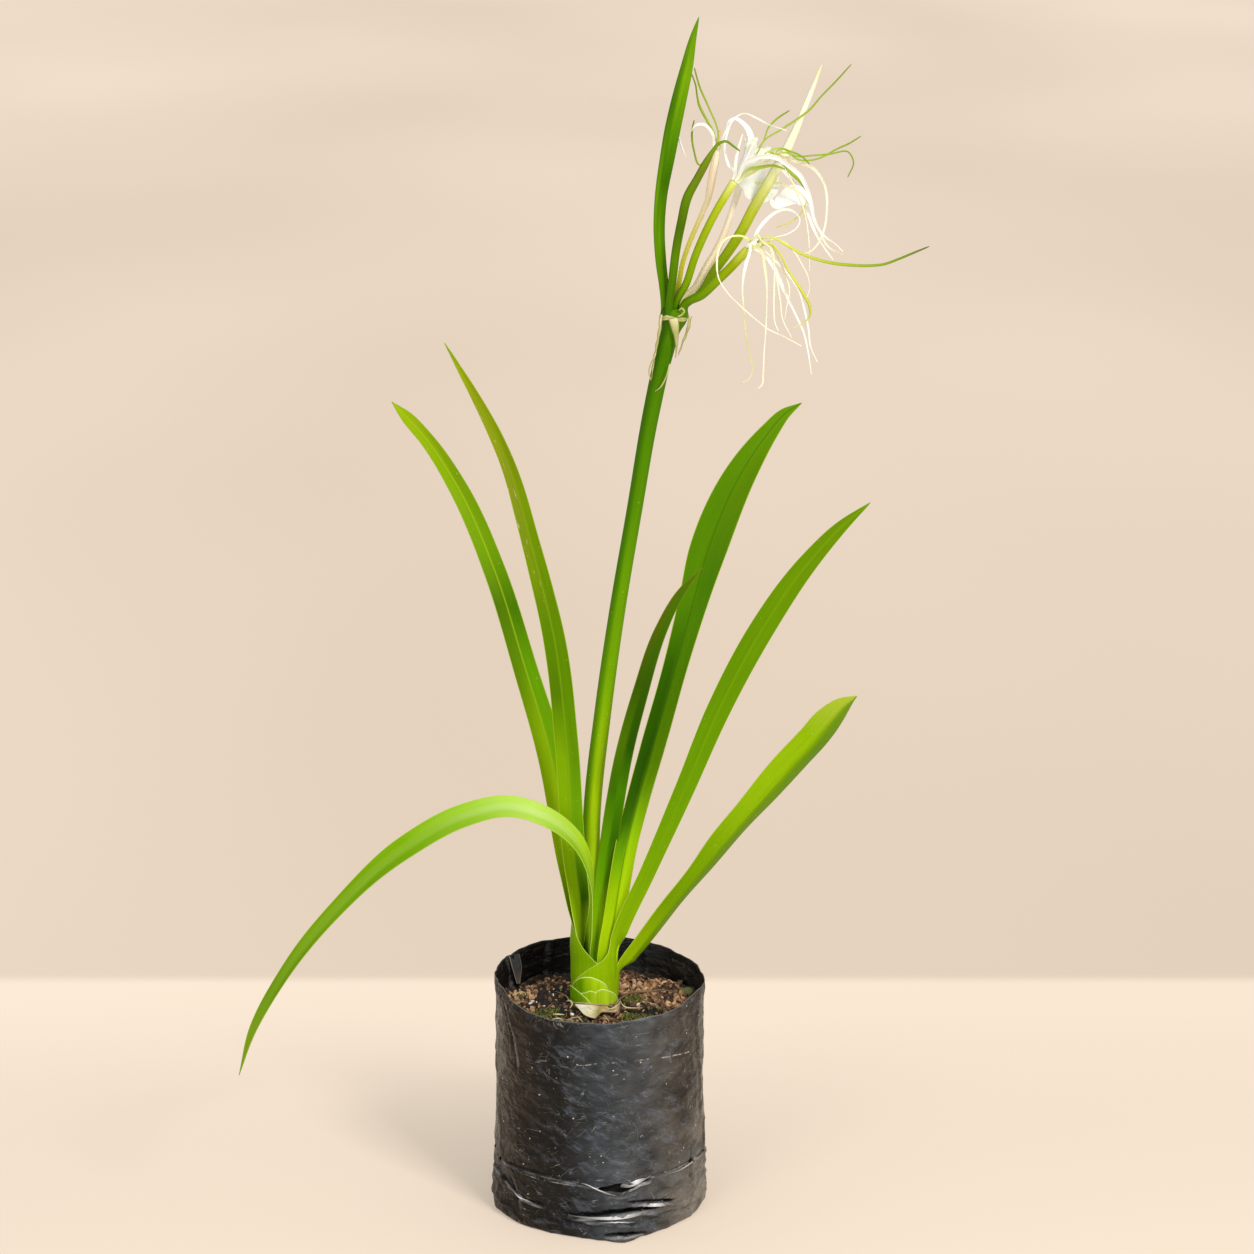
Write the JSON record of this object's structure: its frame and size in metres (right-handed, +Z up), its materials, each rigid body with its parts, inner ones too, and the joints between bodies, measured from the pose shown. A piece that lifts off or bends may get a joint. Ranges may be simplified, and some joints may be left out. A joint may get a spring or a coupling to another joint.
{
  "type": "potted spider lily",
  "caption": "Flowering bulb plant with strap leaves and a tall umbel of thread-petalled white flowers, growing in soil in a soft black nursery grow bag.",
  "frame": {"origin": "centre of the grow bag's flat base, on the surface that it stands on", "axes": "+Z up along the plant; +X to the right and -Y toward the viewer in the front view, where the arching leaf hangs on the left"},
  "size_m": [0.5147, 0.1926, 0.9231],
  "materials": {
    "bag_film": "satin",
    "soil": "matte",
    "bulb_flesh": "satin",
    "leaf": "satin",
    "stalk": "satin",
    "pale_bud": "satin",
    "petal": "matte",
    "filament": "matte",
    "dry_bract": "matte"
  },
  "bodies": {
    "root": {"grow_bag": "bag_film", "potting_soil": "soil", "bulb": "bulb_flesh", "leaf_left_outer": "leaf", "leaf_left_inner": "leaf", "leaf_arching": "leaf", "leaf_short": "leaf", "leaf_tall_right": "leaf", "leaf_right_middle": "leaf", "leaf_right_low": "leaf", "flower_scape": "stalk", "spathe_bract_front": "dry_bract", "spathe_bract_left": "dry_bract", "spathe_bract_right": "dry_bract", "tall_bud": "stalk", "bent_bud": "stalk", "pale_bud": "pale_bud", "left_flower_tube": "stalk", "upper_flower_tube": "stalk", "back_flower_tube": "pale_bud", "lower_flower_tube": "stalk", "upper_flower_cup": "petal", "back_flower_cup": "petal", "lower_flower_cup": "petal", "left_flower_tepal": "petal", "left_flower_stamen_1": "filament", "left_flower_stamen_2": "filament", "left_flower_stamen_3": "filament", "upper_flower_tepal_1": "petal", "upper_flower_tepal_2": "petal", "upper_flower_tepal_3": "petal", "upper_flower_tepal_4": "petal", "upper_flower_tepal_5": "petal", "upper_flower_tepal_6": "petal", "upper_flower_stamen_1": "filament", "upper_flower_stamen_2": "filament", "upper_flower_stamen_3": "filament", "upper_flower_stamen_4": "filament", "upper_flower_stamen_5": "filament", "upper_flower_stamen_6": "filament", "upper_flower_style": "filament", "back_flower_tepal_1": "petal", "back_flower_tepal_2": "petal", "lower_flower_tepal_1": "petal", "lower_flower_tepal_2": "petal", "lower_flower_tepal_3": "petal", "lower_flower_tepal_4": "petal", "lower_flower_tepal_5": "petal", "lower_flower_tepal_6": "petal", "lower_flower_stamen_1": "filament", "lower_flower_stamen_2": "filament", "lower_flower_stamen_3": "filament", "lower_flower_stamen_4": "filament", "lower_flower_stamen_5": "filament", "lower_flower_style": "filament", "dry_sheath": "dry_bract", "dry_runner": "dry_bract"}
  },
  "joints": []
}
